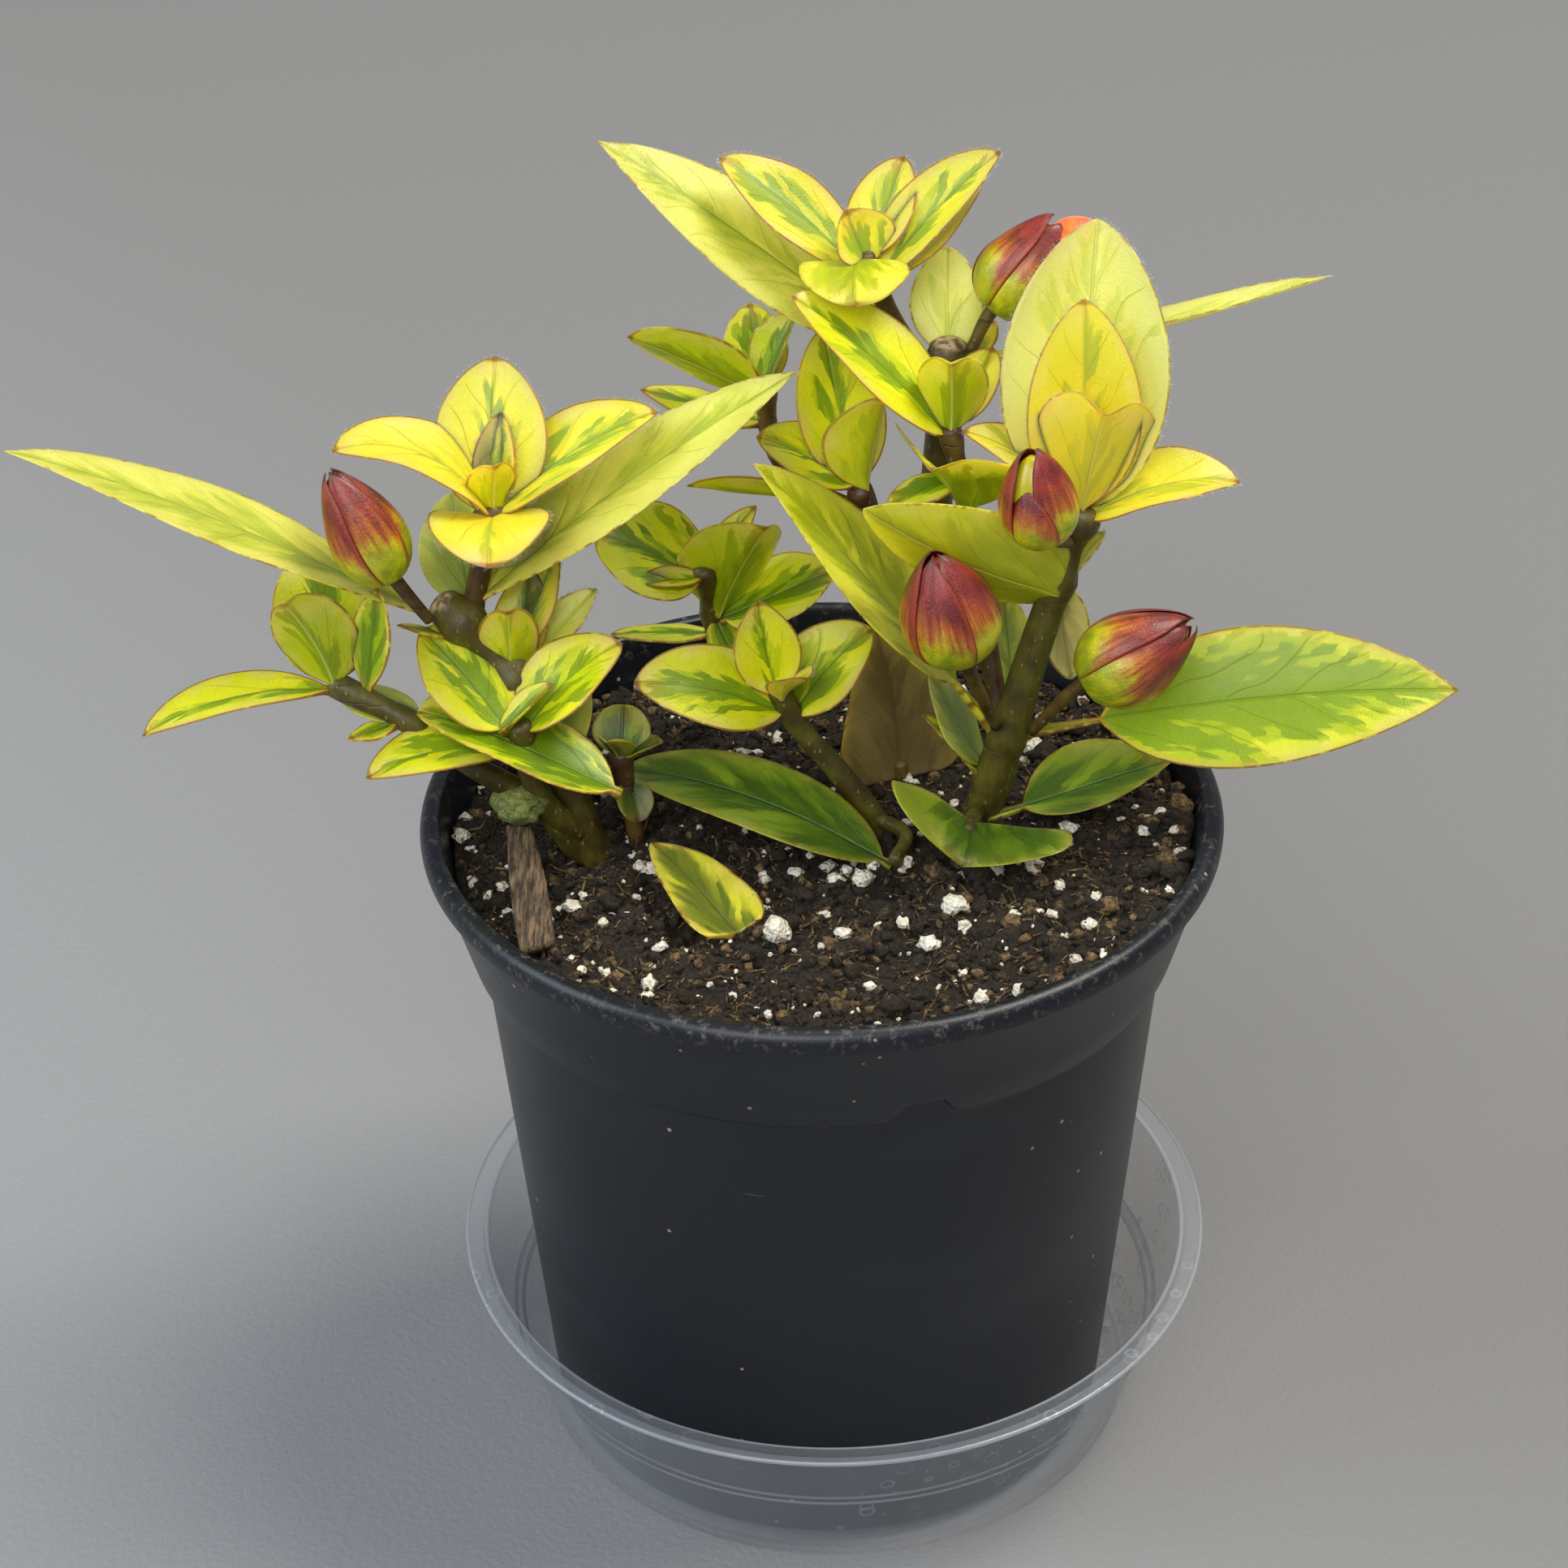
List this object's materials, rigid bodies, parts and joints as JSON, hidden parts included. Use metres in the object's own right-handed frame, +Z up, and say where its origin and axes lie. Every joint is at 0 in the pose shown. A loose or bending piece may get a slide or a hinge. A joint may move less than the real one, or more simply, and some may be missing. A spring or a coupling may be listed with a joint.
{
  "type": "potted houseplant",
  "caption": "Low leafy flowering houseplant with pointed variegated leaves and plump buds, in a round tapered nursery pot standing in a clear drip saucer.",
  "frame": {"origin": "on the pot's axis, at the flat underside of the saucer", "axes": "+Z up along the pot's axis; -Y towards the front of the plant; +X to the right, so the longest leaf points to -X"},
  "size_m": [0.2075, 0.12, 0.2025],
  "materials": {
    "clear_plastic": "clear, smooth",
    "charcoal_plastic": "fine matt with dust",
    "soil": "loose peat with perlite",
    "bark": "rough",
    "leaf": "waxy",
    "dry_leaf": "dry",
    "calyx": "waxy",
    "petal": "satin"
  },
  "bodies": {
    "root": {"saucer": "clear_plastic", "pot": "charcoal_plastic", "soil": "soil", "bark_strip": "bark", "left_shoot": "leaf", "small_shoot": "leaf", "right_shoot": "leaf", "front_shoot": "leaf", "back_shoot": "leaf", "back_left_shoot": "leaf", "yellow_leaf": "leaf", "dry_leaf": "dry_leaf", "left_bud": "calyx", "crown_bud": "calyx", "middle_bud": "calyx", "right_bud": "calyx", "open_bud": "petal"}
  },
  "joints": []
}
